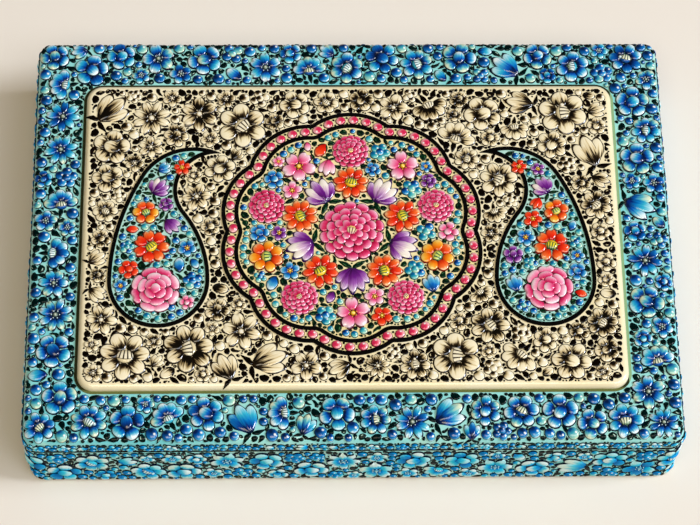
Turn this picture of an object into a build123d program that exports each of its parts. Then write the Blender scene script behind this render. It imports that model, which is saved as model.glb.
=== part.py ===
"""A low papier-mache box with a lift-off lid, a raised panel and raised outlines on the lid.

Millimetres, +Z up, front along -Y. The origin is at the centre of the underside.
The box is made as such boxes are: paper-pulp boards around a floor, with a thin collar
glued inside the base walls, and a lid that drops over the collar and closes flush.
"""
import os
from math import cos, pi, sin

from build123d import *

# Box
BOX_WIDTH = 254.0
BOX_DEPTH = 175.0
BASE_HEIGHT = 33.0
LID_HEIGHT = 9.0
WALL = 5.0
CORNER_RADIUS = 5.0
FOOT_ROUNDING = 1.5
SEAM_CHAMFER = 0.4
LINING = 0.5

# Base
FLOOR = 4.0
FLOOR_HOUSING = 2.0
SIDE_WALL_HOUSING = 2.5
COLLAR = 2.4
COLLAR_RISE = 4.3
COLLAR_ROUNDING = 0.8

# Lid
LID_BOARD = 3.6
LID_EDGE_ROUNDING = 3.0
COLLAR_CLEARANCE = 0.3

# Raised panel on the lid
PANEL_WIDTH = 213.4
PANEL_DEPTH = 132.6
PANEL = 2.8
PANEL_CORNER = 6.5
PANEL_ROUNDING = 2.4
EDGE_LINE_WIDTH = 1.1
EDGE_LINE_RISE = 0.35

# Raised outlines on the panel
GROUND_RISE = 0.25
OUTLINE_WIDTH = 1.6
OUTLINE_RISE = 0.6
SCALLOPS = 10
SCALLOP_RADIUS = 50.0
SCALLOP_RISE = 3.0
BEAD_BAND = 3.6
BEAD_RADIUS = 1.5
BEAD_HEIGHT = 0.9
BEAD_SIDES = 8
BEAD_TAPER = 32
BEADS_PER_SCALLOP = 6
BOTEH_X = 76.0
BOTEH_Y = -21.0
BOTEH_RADIUS = 20.0
BOTEH_LENGTH = 62.0

# Levels
LID_TOP = BASE_HEIGHT + LID_HEIGHT
RECESS_TOP = LID_TOP - LID_BOARD
PANEL_TOP = LID_TOP + PANEL
INNER_WIDTH = BOX_WIDTH - 2 * WALL
INNER_DEPTH = BOX_DEPTH - 2 * WALL


def block(width, depth, low, high):
    """A block centred on the Z axis between two levels."""
    return Pos(0, 0, low) * Box(width, depth, high - low, align=(Align.CENTER, Align.CENTER, Align.MIN))


def rounded_block(width, depth, radius, low, high):
    """A block with round upright corners between two levels."""
    return Pos(0, 0, low) * extrude(RectangleRounded(width, depth, radius), high - low)


def split_ring(ring, width, thickness, side_length):
    """Cut a rectangular ring into front, back, left and right strips.

    The side strips have the given length, so they are housed in the long ones or butt them.
    """
    reach = 2 * BOX_WIDTH
    between = block(width - 2 * thickness, reach, -reach, reach)
    sides = (ring - between) & block(reach, side_length, -reach, reach)
    long_strips = ring - sides
    half = Box(reach, reach, reach)
    return {
        "front": long_strips & (Pos(0, -reach / 2, 0) * half),
        "back": long_strips & (Pos(0, reach / 2, 0) * half),
        "left": sides & (Pos(-reach / 2, 0, 0) * half),
        "right": sides & (Pos(reach / 2, 0, 0) * half),
    }


def make_base():
    """Floor, four walls, four collar strips and the cloth on the floor."""
    outside = rounded_block(BOX_WIDTH, BOX_DEPTH, CORNER_RADIUS, 0, BASE_HEIGHT)
    outside = fillet(outside.edges().group_by(Axis.Z)[0], FOOT_ROUNDING)
    outside = chamfer(outside.edges().group_by(Axis.Z)[-1], SEAM_CHAMFER)
    floor = block(INNER_WIDTH + 2 * FLOOR_HOUSING, INNER_DEPTH + 2 * FLOOR_HOUSING, 0, FLOOR)
    band = outside - block(INNER_WIDTH, INNER_DEPTH, 0, BASE_HEIGHT) - floor
    walls = split_ring(band, BOX_WIDTH, WALL, INNER_DEPTH + 2 * SIDE_WALL_HOUSING)
    pieces = {f"base_wall_{name}": wall for name, wall in walls.items()}
    pieces["base_floor"] = floor
    pieces.update(make_collar())
    cloth_width = INNER_WIDTH - 2 * COLLAR
    cloth_depth = INNER_DEPTH - 2 * COLLAR
    pieces["base_lining"] = block(cloth_width, cloth_depth, FLOOR, FLOOR + LINING)
    return pieces


def make_collar():
    """Four strips inside the walls, with rounded tops standing above the rim."""
    top = BASE_HEIGHT + COLLAR_RISE
    hollow_depth = INNER_DEPTH - 2 * COLLAR
    ring = block(INNER_WIDTH, INNER_DEPTH, FLOOR, top)
    ring = fillet(ring.edges().group_by(Axis.Z)[-1], COLLAR_ROUNDING)
    ring = ring - block(INNER_WIDTH - 2 * COLLAR, hollow_depth, FLOOR, top)
    strips = split_ring(ring, INNER_WIDTH, COLLAR, hollow_depth)
    return {f"collar_{name}": strip for name, strip in strips.items()}


def make_lid():
    """Top board, four rim strips, the raised panel and the cloth under the board."""
    outside = rounded_block(BOX_WIDTH, BOX_DEPTH, CORNER_RADIUS, BASE_HEIGHT, LID_TOP)
    outside = fillet(outside.edges().group_by(Axis.Z)[-1], LID_EDGE_ROUNDING)
    outside = chamfer(outside.edges().group_by(Axis.Z)[0], SEAM_CHAMFER)
    above_recess = block(2 * BOX_WIDTH, 2 * BOX_DEPTH, RECESS_TOP, 2 * LID_TOP)
    recess_width = INNER_WIDTH + 2 * COLLAR_CLEARANCE
    recess_depth = INNER_DEPTH + 2 * COLLAR_CLEARANCE
    band = outside - above_recess - block(recess_width, recess_depth, BASE_HEIGHT, RECESS_TOP)
    rims = split_ring(band, BOX_WIDTH, WALL - COLLAR_CLEARANCE, INNER_DEPTH + 2 * SIDE_WALL_HOUSING)
    pieces = {f"lid_rim_{name}": rim for name, rim in rims.items()}
    pieces["lid_board"] = outside & above_recess
    pieces["lid_lining"] = block(recess_width, recess_depth, RECESS_TOP - LINING, RECESS_TOP)
    panel = rounded_block(PANEL_WIDTH, PANEL_DEPTH, PANEL_CORNER, LID_TOP, PANEL_TOP)
    pieces["lid_panel"] = fillet(panel.edges().group_by(Axis.Z)[-1], PANEL_ROUNDING)
    pieces["panel_edge_line"] = make_edge_line()
    return pieces


def make_edge_line():
    """The raised line on the lid board, round the foot of the panel."""
    grow = 2 * EDGE_LINE_WIDTH
    top = LID_TOP + EDGE_LINE_RISE
    radius = PANEL_CORNER + EDGE_LINE_WIDTH
    outer = rounded_block(PANEL_WIDTH + grow, PANEL_DEPTH + grow, radius, LID_TOP, top)
    return outer - rounded_block(PANEL_WIDTH, PANEL_DEPTH, PANEL_CORNER, LID_TOP, top)


def on_circle(radius, angle):
    """A point of the XY plane at a radius and an angle in radians."""
    return (radius * cos(angle), radius * sin(angle))


def scalloped_face():
    """The medallion's outer outline: arcs that bulge outwards, end to end."""
    step = 2 * pi / SCALLOPS
    arcs = []
    for index in range(SCALLOPS):
        start = index * step
        crown = on_circle(SCALLOP_RADIUS + SCALLOP_RISE, start + step / 2)
        arcs.append(ThreePointArc(on_circle(SCALLOP_RADIUS, start), crown, on_circle(SCALLOP_RADIUS, start + step)))
    return make_face(Wire(arcs))


def raised(face, low, high):
    """A flat shape as a thin solid between two levels."""
    return Pos(0, 0, low) * extrude(face, high - low)


def make_medallion():
    """A raised ground inside a raised outline, with a second outline and beads on it."""
    outer = scalloped_face()
    ground = offset(outer, -OUTLINE_WIDTH)
    bead_line = offset(outer, -OUTLINE_WIDTH - BEAD_BAND / 2)
    inner = offset(outer, -OUTLINE_WIDTH - BEAD_BAND)
    inner_inside = offset(outer, -2 * OUTLINE_WIDTH - BEAD_BAND)
    ground_top = PANEL_TOP + GROUND_RISE
    return {
        "medallion_ground": raised(ground, PANEL_TOP, ground_top),
        "medallion_outline_outer": raised(outer - ground, PANEL_TOP, PANEL_TOP + OUTLINE_RISE),
        "medallion_outline_inner": raised(inner - inner_inside, ground_top, PANEL_TOP + OUTLINE_RISE),
        "medallion_beads": make_beads(bead_line.face().outer_wire(), ground_top),
    }


def make_beads(line, foot):
    """Small eight-sided beads with tapering sides, spaced evenly along a closed line."""
    bead = extrude(RegularPolygon(BEAD_RADIUS, BEAD_SIDES), BEAD_HEIGHT, taper=BEAD_TAPER)
    count = SCALLOPS * BEADS_PER_SCALLOP
    beads = []
    for index in range(count):
        spot = line.position_at((index + 0.5) / count)
        beads.append(Pos(spot.X, spot.Y, foot) * bead)
    return Compound(children=beads)


def boteh_face():
    """A boteh: a round body and a tail that hooks over towards the middle of the lid."""
    radius = BOTEH_RADIUS
    shoulder = (0.38 * radius, 0.75 * BOTEH_LENGTH)
    tip = (-1.2 * radius, 0.9 * BOTEH_LENGTH)
    waist = (-0.5 * radius, 0.48 * BOTEH_LENGTH)
    body = ThreePointArc((-radius, 0), (0, -radius), (radius, 0))
    back = TangentArc((radius, 0), shoulder, tangent=(0, 1))
    hook = TangentArc(shoulder, tip, tangent=back % 1)
    belly = TangentArc((-radius, 0), waist, tangent=(0, 1))
    throat = TangentArc(waist, tip, tangent=belly % 1)
    return make_face(Wire([body, back, hook, throat, belly]))


def make_botehs():
    """A pair of botehs, mirrored, each with a raised outline and a raised ground."""
    right = Pos(BOTEH_X, BOTEH_Y) * boteh_face()
    pieces = {}
    for name, face in (("right", right), ("left", mirror(right, Plane.YZ))):
        inside = offset(face, -OUTLINE_WIDTH)
        pieces[f"boteh_outline_{name}"] = raised(face - inside, PANEL_TOP, PANEL_TOP + OUTLINE_RISE)
        pieces[f"boteh_ground_{name}"] = raised(inside, PANEL_TOP, PANEL_TOP + GROUND_RISE)
    return pieces


def main():
    """Write one file for each piece."""
    os.makedirs("parts", exist_ok=True)
    pieces = {**make_base(), **make_lid(), **make_medallion(), **make_botehs()}
    for name, shape in pieces.items():
        export_step(shape, f"parts/{name}.step")


main()
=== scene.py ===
"""Paint, relief and studio for the Kashmiri papier mache box.

The box itself comes from model.glb. This script gives its boards their lacquer and lays the raised,
painted flowers, berries and leaves on them. Flower work is laid out flat, in millimetres, with its points
as complex numbers, and then bent over the lid's edge or round the walls.
"""
import random
from cmath import phase, rect
from collections import namedtuple
from functools import partial
from math import ceil, cos, hypot, pi, sin

import bmesh
import bpy
import numpy as np
from mathutils import Matrix, Vector


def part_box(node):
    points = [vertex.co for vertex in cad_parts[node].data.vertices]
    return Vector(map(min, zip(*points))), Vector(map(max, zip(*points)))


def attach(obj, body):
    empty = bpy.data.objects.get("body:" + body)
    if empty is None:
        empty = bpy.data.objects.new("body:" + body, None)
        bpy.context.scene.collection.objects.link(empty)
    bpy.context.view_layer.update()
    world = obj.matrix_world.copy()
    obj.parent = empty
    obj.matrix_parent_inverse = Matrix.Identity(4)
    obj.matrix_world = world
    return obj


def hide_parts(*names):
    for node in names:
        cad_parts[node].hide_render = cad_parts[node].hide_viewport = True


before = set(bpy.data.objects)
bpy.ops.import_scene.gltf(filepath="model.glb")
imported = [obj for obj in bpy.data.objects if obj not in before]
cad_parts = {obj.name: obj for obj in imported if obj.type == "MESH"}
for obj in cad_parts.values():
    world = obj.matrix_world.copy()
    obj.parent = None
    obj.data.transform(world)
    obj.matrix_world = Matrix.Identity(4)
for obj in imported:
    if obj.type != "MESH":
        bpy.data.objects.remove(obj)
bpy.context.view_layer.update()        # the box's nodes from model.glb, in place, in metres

MM = 0.001


# ------------ places, in millimetres, from the box's nodes

def span(node):
    """A node's lowest and highest corners, in millimetres."""
    low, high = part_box(node)
    return [value / MM for value in low], [value / MM for value in high]


LID_LOW, LID_HIGH = span("lid_board")
LID_TOP = LID_HIGH[2]
WIDTH = LID_HIGH[0] - LID_LOW[0]
DEPTH = LID_HIGH[1] - LID_LOW[1]
LID_ROUNDING = 3.0       # of the lid's upper edge
CORNER = 5.0             # radius of the upright corners
SEAM = span("lid_rim_front")[0][2]
PANEL_LOW, PANEL_HIGH = span("lid_panel")
PANEL_TOP = PANEL_HIGH[2]
PANEL_WIDTH = PANEL_HIGH[0] - PANEL_LOW[0]
PANEL_DEPTH = PANEL_HIGH[1] - PANEL_LOW[1]
PANEL_CORNER = 6.5
PANEL_ROUNDING = 2.4
GROUND_TOP = span("medallion_ground")[1][2]
WALK_WIDTH = WIDTH - 2 * CORNER
WALK_DEPTH = DEPTH - 2 * CORNER
TURN_LENGTH = CORNER * pi / 2
ROUND_LENGTH = 2 * (WALK_WIDTH + WALK_DEPTH) + 4 * TURN_LENGTH


# ------------ camera, floor and light, in metres

EYE = (-0.02397, -0.39408, 0.88226)
YAW, PITCH, ROLL = -0.0607, 0.4273, 0.0514
LENS, SENSOR = 120.23, 36.0
WARM = (1.0, 0.85, 0.62)
WORLD_STRENGTH = 0.05
LIT_PLACE = (0.0, 0.0, 0.03)
LIGHTS = (
    # name, place, size, watts, colour
    ("key_light", (3.930, -0.275, 3.108), 1.60, 215.0, (0.82, 0.86, 0.95)),
    ("side_light", (1.977, -1.977, 4.175), 2.40, 72.0, (0.82, 0.87, 0.97)),
    ("front_light", (-0.318, -1.802, 4.14), 2.40, 80.0, WARM),
)


def put(name, data):
    """A new object of the scene, with this data."""
    thing = bpy.data.objects.new(name, data)
    bpy.context.scene.collection.objects.link(thing)
    return thing


def set_camera():
    data = bpy.data.cameras.new("camera")
    data.sensor_width = SENSOR
    data.lens = LENS
    camera = put("camera", data)
    turned = Matrix.Rotation(YAW, 4, "Z") @ Matrix.Rotation(PITCH, 4, "X") @ Matrix.Rotation(ROLL, 4, "Z")
    camera.matrix_world = Matrix.Translation(EYE) @ turned
    bpy.context.scene.camera = camera
    bpy.context.scene.view_settings.view_transform = "Standard"


def set_lights():
    world = bpy.data.worlds.new("studio")
    world.use_nodes = True
    back = world.node_tree.nodes["Background"]
    back.inputs["Color"].default_value = (*WARM, 1.0)
    back.inputs["Strength"].default_value = WORLD_STRENGTH
    bpy.context.scene.world = world
    for name, place, size, watts, colour in LIGHTS:
        data = bpy.data.lights.new(name, "AREA")
        data.shape = "DISK"
        data.size = size
        data.energy = watts
        data.color = colour
        light = put(name, data)
        light.location = place
        light.rotation_euler = (Vector(place) - Vector(LIT_PLACE)).to_track_quat("Z", "Y").to_euler()


# ------------ paint

def tone(red, green, blue):
    """A colour written as on a screen, from 0 to 255, as the shader wants it."""
    values = []
    for value in (red, green, blue):
        value = value / 255
        values.append(value / 12.92 if value <= 0.04045 else ((value + 0.055) / 1.055) ** 2.4)
    return (*values, 1.0)


def bright_tone(red, green, blue):
    """Painted light: a colour brighter in green and most of all in blue, for the sides, which are lit only
    at a graze.
    """
    return tone(red * 0.97, green + (255 - green) * 0.38, blue + (255 - blue) * 0.62)


def sum_of(operation, turned=False):
    """A method that puts two numbers through one kind of sum."""
    def method(self, other=0.0):
        first, second = (other, self) if turned else (self, other)
        return self.paint.node("ShaderNodeMath", {"operation": operation}, {0: first, 1: second})

    return method


class Wire:
    """A socket that carries a number or a colour, and can be added, multiplied and compared."""

    def __init__(self, paint, socket):
        self.paint = paint
        self.socket = socket

    __add__ = sum_of("ADD")
    __radd__ = sum_of("ADD", turned=True)
    __sub__ = sum_of("SUBTRACT")
    __rsub__ = sum_of("SUBTRACT", turned=True)
    __mul__ = sum_of("MULTIPLY")
    __rmul__ = sum_of("MULTIPLY", turned=True)
    __truediv__ = sum_of("DIVIDE")
    __pow__ = sum_of("POWER")
    sine = sum_of("SINE")
    size = sum_of("ABSOLUTE")

    def far(self, other):
        """How far out a point is that lies this far one way and that far the other."""
        return (self * self + other * other) ** 0.5

    def step(self, low, high):
        """Runs smoothly from 0 at low to 1 at high."""
        sockets = {"Value": self, "From Min": low, "From Max": high}
        return self.paint.node("ShaderNodeMapRange", {"interpolation_type": "SMOOTHSTEP"}, sockets)


class Paint:
    """A material, made node by node."""

    def __init__(self, name):
        self.material = bpy.data.materials.new(name)
        self.material.use_nodes = True
        self.tree = self.material.node_tree
        self.tree.nodes.clear()

    def node(self, kind, settings=None, sockets=None, output=0):
        """One node: its settings first, then the values or links of its sockets."""
        made = self.tree.nodes.new(kind)
        for key, value in (settings or {}).items():
            if key == "stops":
                while len(made.color_ramp.elements) < len(value):
                    made.color_ramp.elements.new(0.5)
                for element, (place, colour) in zip(made.color_ramp.elements, value):
                    element.position = place
                    element.color = colour
            else:
                setattr(made, key, value)
        for key, value in (sockets or {}).items():
            if isinstance(value, Wire):
                self.tree.links.new(value.socket, made.inputs[key])
            else:
                made.inputs[key].default_value = value
        return Wire(self, made.outputs[output]) if made.outputs else None

    def places(self, stretch=(1.0, 1.0, 1.0)):
        """Points of the surface in metres, stretched about the origin."""
        made = self.node("ShaderNodeTexCoord", output="Object")
        return self.node("ShaderNodeMapping", None, {"Vector": made, "Scale": stretch})

    def distance(self, axis):
        """How far a point is along X, Y or Z, in millimetres."""
        made = self.node("ShaderNodeTexCoord", output="Object")
        return self.node("ShaderNodeSeparateXYZ", None, {0: made}, axis) * (1.0 / MM)

    def own_map(self):
        """The shape's own map: how far along and across a point is, from 0 to 1, and then from -1 to 1."""
        made = self.node("ShaderNodeUVMap", {"uv_map": "Stroke"})
        along, across = (self.node("ShaderNodeSeparateXYZ", None, {0: made}, axis) for axis in "XY")
        return along, across, along * 2.0 - 1.0, across * 2.0 - 1.0

    def point(self, x, y):
        return self.node("ShaderNodeCombineXYZ", None, {0: x, 1: y})

    def noise(self, place, scale, detail=2.0):
        return self.node("ShaderNodeTexNoise", None, {"Vector": place, "Scale": scale, "Detail": detail})

    def mix(self, share, first, second):
        return self.node("ShaderNodeMix", {"data_type": "RGBA"}, {0: share, 6: first, 7: second}, 2)

    def blend(self, share, *stops):
        """A run of colours, each at its place from 0 to 1."""
        return self.node("ShaderNodeValToRGB", {"stops": stops}, {"Fac": share})

    def finish(self, colour, roughness, height=None, depth=0.0, **fixed):
        """The surface itself, from its colour, roughness and height, and other sockets' fixed values."""
        sockets = {"Base Color": colour, "Roughness": roughness, **fixed}
        if height is not None:
            sockets["Normal"] = self.node("ShaderNodeBump", None, {"Height": height, "Distance": depth})
        surface = self.node("ShaderNodeBsdfPrincipled", None, sockets)
        self.node("ShaderNodeOutputMaterial", None, {"Surface": surface})
        return self.material


def varnish(weight, rough, index=1.50, shine=0.0):
    """The fixed sockets of a coat of varnish."""
    return {"Coat Weight": weight, "Coat Roughness": rough, "Coat IOR": index, "Specular IOR Level": shine}


VARNISH = varnish(1.0, 0.14, 1.60)
THIN_VARNISH = varnish(0.12, 0.08)
LEAF_VARNISH = varnish(0.25, 0.10)
SATIN = varnish(0.20, 0.25, shine=0.3)
NAP = {"Sheen Weight": 0.5, "Sheen Roughness": 0.4}


# ------------ paint of the boards

def ground_paint(name, light, dark, warm, coat=VARNISH, seam=False):
    """Brushed ground colour under varnish: cloudy, a little warmer in places, over a hand-smoothed board;
    with seam, painted shade along the seam and at the foot.
    """
    paint = Paint(name)
    place = paint.places()
    cloud = paint.noise(place, 38.0, 3.0)
    colour = paint.mix(cloud.step(0.35, 0.68), tone(*light), tone(*dark))
    colour = paint.mix(paint.noise(place, 120.0).step(0.55, 0.75) * 0.5, colour, tone(*warm))
    if seam:
        height = paint.distance("Z")
        # painted shade: a dark band along the seam, standing in for the shadow in the gap under the lid's
        # edge
        colour = paint.mix((height - SEAM).size().step(0.85, 1.10), tone(4, 10, 12), colour)
        # painted shade: darker at the foot, where the wall meets the floor
        colour = paint.mix(height.step(0.5, 1.1), tone(20, 52, 52), colour)
    brushed = paint.noise(paint.places((60.0, 900.0, 900.0)), 1.0)
    swell = paint.noise(place, 55.0)
    return paint.finish(colour, 0.30 + brushed * 0.12, brushed * 0.12 + swell, 0.00035, **coat)


def black_line_paint(name):
    paint = Paint(name)
    cloud = paint.noise(paint.places(), 160.0)
    colour = paint.mix(cloud, tone(3, 3, 3), tone(14, 13, 12))
    return paint.finish(colour, 0.24 + cloud * 0.15, cloud, 0.0003, **LEAF_VARNISH)


def edge_line_paint(name):
    """The line at the panel's foot: nearly black, but olive in front and pale green at the right; the dark
    back and left are painted shade from the raised panel, the paler front and right painted light.
    """
    paint = Paint(name)
    cloud = paint.noise(paint.places(), 110.0)
    front = (paint.distance("Y") * -1.0).step(PANEL_DEPTH / 2 - 1.0, PANEL_DEPTH / 2)
    right = paint.distance("X").step(PANEL_WIDTH / 2 - 0.2, PANEL_WIDTH / 2 + 0.1)
    colour = paint.mix(cloud, tone(34, 42, 22), tone(54, 58, 30))
    # painted light: paler olive in front and pale green at the right, where the lamps fall; nearly black
    # elsewhere is painted shade
    colour = paint.mix(front, colour, tone(104, 112, 62))
    colour = paint.mix(right, colour, tone(140, 176, 132))
    return paint.finish(colour, 0.30 + cloud * 0.12, cloud, 0.0003, **VARNISH)


def collar_paint(name):
    """Flat black, rubbed where the lid slides."""
    paint = Paint(name)
    cloud = paint.noise(paint.places(), 70.0, 3.0)
    rub = paint.noise(paint.places((40.0, 40.0, 900.0)), 1.0, 3.0).step(0.58, 0.8)
    colour = paint.mix(cloud, tone(20, 19, 19), tone(34, 32, 31))
    colour = paint.mix(rub * 0.35, colour, tone(70, 64, 58))
    return paint.finish(colour, 0.42 + rub * 0.15, cloud, 0.0003, **SATIN)


def lining_cloth(name):
    """Short-napped cloth, stroked in patches."""
    paint = Paint(name)
    place = paint.places()
    stroked = paint.noise(place, 26.0).step(0.35, 0.65)
    pile = paint.noise(place, 2600.0, 1.0)
    colour = paint.mix(stroked, tone(26, 44, 104), tone(42, 66, 138))
    colour = paint.mix(pile.step(0.45, 0.7) * 0.5, colour, tone(66, 92, 166))
    return paint.finish(colour, 0.85 + pile * 0.1, pile, 0.0004, **NAP)


def under_paint(name):
    """The underside: the ground colour laid thin, with the brush marks and a little handling."""
    paint = Paint(name)
    brushed = paint.noise(paint.places((30.0, 700.0, 700.0)), 1.0, 3.0)
    worn = paint.noise(paint.places(), 45.0, 4.0).step(0.60, 0.80)
    colour = paint.mix(brushed, tone(118, 184, 176), tone(150, 208, 196))
    colour = paint.mix(worn * 0.5, colour, tone(176, 190, 168))
    return paint.finish(colour, 0.38 + brushed * 0.15, brushed, 0.0002, **SATIN)


def paint_boards():
    black = black_line_paint("black_line")
    # painted light: the sides' ground is paler and bluer than the top's, for the little light they get at a
    # graze
    sides = ground_paint("turquoise_sides", (196, 250, 244), (152, 236, 238), (216, 248, 228), THIN_VARNISH,
                         seam=True)
    yellow = ground_paint("pale_yellow_ground", (248, 234, 180), (243, 225, 160), (250, 239, 198))
    coats = (
        # what a node's name holds, its paint: the first that fits is taken
        ("collar", collar_paint("collar_black")),
        ("lining", lining_cloth("blue_lining")),
        ("base_floor", under_paint("underside_turquoise")),
        ("lid_panel", ground_paint("cream_ground", (252, 240, 202), (247, 232, 186), (253, 244, 212))),
        ("panel_edge_line", edge_line_paint("olive_line")),
        ("medallion_ground", yellow),
        ("boteh_ground", ground_paint("aqua_ground", (186, 230, 216), (154, 220, 208), (208, 234, 204))),
        ("outline", black),
        ("wall", sides),
        ("rim", sides),
        ("", ground_paint("turquoise_ground", (164, 230, 222), (118, 210, 216), (192, 232, 202))),
    )
    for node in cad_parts:
        materials = bpy.data.objects[node].data.materials
        materials.clear()
        materials.append(next(coat for part, coat in coats if part in node))


# ------------ paint of the relief

def petal_paint(name, seed, foot, body, light, tip, line, hairs=0.22, fades=(0.12, 0.40, 0.66, 0.90),
                coat=VARNISH, mixed=tone):
    """One petal: deep colour at its foot, drawn in fine hairs to a pale tip, and a thin line round it."""
    paint = Paint(name)
    along, across, x, y = paint.own_map()
    aside = (across - 0.5).size()
    streak = paint.noise(paint.point(along * 1.3 + seed * 7.3, across * 8.5), 1.0) - 0.5
    cloud = paint.noise(paint.point(along + seed * 3.1, across), 3.0, 1.0) - 0.5
    reach = along + streak * hairs * 2.0 + cloud * 0.16 + aside * aside * 0.5
    colour = paint.blend(reach, *zip(fades, [mixed(*colour) for colour in (foot, body, light, tip)]))
    colour = paint.mix(x.far(y).step(0.79, 0.87), colour, tone(*line))
    return paint.finish(colour, 0.26 + streak * 0.1, streak, 0.00006, **coat)


def berry_paint(name, seed, deep, body, pale, line, eye=0.0, painted_highlight_tint=None, fades=(0.16, 0.42, 0.76),
                coat=VARNISH, mixed=tone):
    """A berry: a deep eye towards one side and a pale far side, painted shade and painted light, a small
    white painted highlight and a thin line round it.
    """
    paint = Paint(name)
    along, across, x, y = paint.own_map()
    cloud = paint.noise(paint.point(along + seed * 5.7, across), 3.5, 1.0) - 0.5
    # painted shade and light: darkest round the eye, palest on the far side, which is turned to the lamps
    away = (x + eye).far(y) * (1.0 / (1.0 + eye)) + cloud * 0.2
    colours = [mixed(*colour) for colour in (deep, body, pale, painted_highlight_tint or pale)]
    colour = paint.blend(away, *zip((*fades, 0.92), colours))
    if eye > 0.0:
        # painted highlight: a small white spot on the lit side
        painted_highlight_spot = (x - 0.18).far(y - 0.38)
        colour = paint.mix(painted_highlight_spot.step(0.10, 0.24), tone(246, 250, 246), colour)
    colour = paint.mix(x.far(y).step(0.78, 0.88), colour, tone(*line))
    return paint.finish(colour, 0.22 + cloud * 0.1, **coat)


def seed_head_paint(name, stripes, pale, green, dark, brow, line, coat=VARNISH, mixed=tone):
    """The middle of a flower: stripes under a plain brow, like a poppy's seed head seen from aside."""
    paint = Paint(name)
    x, y = paint.own_map()[2:]
    rim = x.far(y)
    pale, green, dark, brow = (mixed(*colour) for colour in (pale, green, dark, brow))
    bars = (x / (1.6 + y * 0.5) * 1.6 * (stripes * pi)).sine()
    over = y - x * x * -0.25
    shade = paint.blend(y * -0.5 + 0.5, (0.25, pale), (0.62, pale), (0.95, green))
    colour = paint.mix(bars.step(0.1, 0.75), shade, dark)
    colour = paint.mix(over.step(0.42, 0.5), colour, brow)
    colour = paint.mix(((over - 0.44).size() * -14.0 + 1.0).step(0.0, 0.6) * 0.8, colour, dark)
    colour = paint.mix(rim.step(0.88, 0.95), colour, tone(*line))
    return paint.finish(colour, 0.26 + rim * 0.06, **coat)


def leaf_paint(name, seed, deep, edge, glint, share):
    """A leaf: nearly black, with a painted highlight: a curved stroke of a paler colour along one side."""
    paint = Paint(name)
    along, across, x, y = paint.own_map()
    cloud = paint.noise(paint.point(along * 2.0 + seed * 4.1, across * 3.0), 2.5)
    colour = paint.mix(cloud.step(0.42, 0.70), tone(*deep), tone(*edge))
    # painted highlight: a pale curved glint along one side, on a share of the leaves
    bow = (y - 0.34 + x * x * 0.9).size()
    stroke = (1.0 - bow.step(0.05, 0.15)) * (1.0 - (x - 0.1).size().step(0.16, 0.36))
    colour = paint.mix(stroke * share, colour, tone(*glint))
    return paint.finish(colour, 0.30 + cloud * 0.15, **LEAF_VARNISH)


# ------------ shapes, each modelled once

SHAPES = {}
FULL = ((0.93, 0.42), (0.774, 0.34), (0.53, 0.18))
LOW = ((0.90, 0.60), (0.60, 0.32))
CENTRE = (0.0, 0.0, 0.0)


def choose_points(shape, test):
    """Selects the points that pass a test on where they are."""
    bpy.ops.object.mode_set(mode="OBJECT")
    shape.data.polygons.foreach_set("select", [False] * len(shape.data.polygons))
    shape.data.edges.foreach_set("select", [False] * len(shape.data.edges))
    shape.data.vertices.foreach_set("select", [bool(test(point.co)) for point in shape.data.vertices])
    bpy.ops.object.mode_set(mode="EDIT")


def raised_disc(name, sides, rings):
    """A disc one unit wide, drawn up ring by ring into a low dome one unit high."""
    bpy.ops.object.select_all(action="DESELECT")
    bpy.ops.mesh.primitive_circle_add(vertices=sides, radius=0.5, fill_type="NGON")
    shape = bpy.context.object
    shape.name = name
    bpy.context.tool_settings.mesh_select_mode = (True, False, False)
    bpy.ops.object.mode_set(mode="EDIT")
    bpy.ops.mesh.select_all(action="SELECT")
    rise = 0.0
    for share, lift in rings:
        bpy.ops.mesh.extrude_region_move(TRANSFORM_OT_translate={"value": (0.0, 0.0, lift)})
        bpy.ops.transform.resize(value=(share, share, 1.0), center_override=CENTRE)
        rise += lift
    bpy.ops.mesh.poke(offset=0.0)
    bpy.ops.mesh.select_all(action="DESELECT")
    choose_points(shape, lambda at: hypot(at.x, at.y) < 0.01)
    bpy.ops.transform.translate(value=(0.0, 0.0, 1.0 - rise))
    return shape


def keep_shape(shape):
    """Smooths the shape but for its flat underside, gives it its maps and keeps it to be copied."""
    bpy.ops.object.mode_set(mode="OBJECT")
    bpy.ops.object.shade_smooth_by_angle(angle=pi / 3)
    mesh = shape.data
    corners = np.empty(len(mesh.loops), dtype=np.int32)
    mesh.loops.foreach_get("vertex_index", corners)
    flat = (points_of(mesh)[corners, :2] + 0.5).clip(0.0, 1.0).astype(np.float32)
    for layer in ("Stroke", "OFBake"):
        mesh.uv_layers.new(name=layer).data.foreach_set("uv", flat.ravel())
    SHAPES[shape.name] = mesh.copy()
    bpy.data.objects.remove(shape)


def points_of(mesh):
    points = np.empty(len(mesh.vertices) * 3)
    mesh.vertices.foreach_get("co", points)
    return points.reshape(-1, 3)


def ahead(reach):
    return lambda at: at.x > reach


def behind(reach):
    return lambda at: at.x < reach


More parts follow.
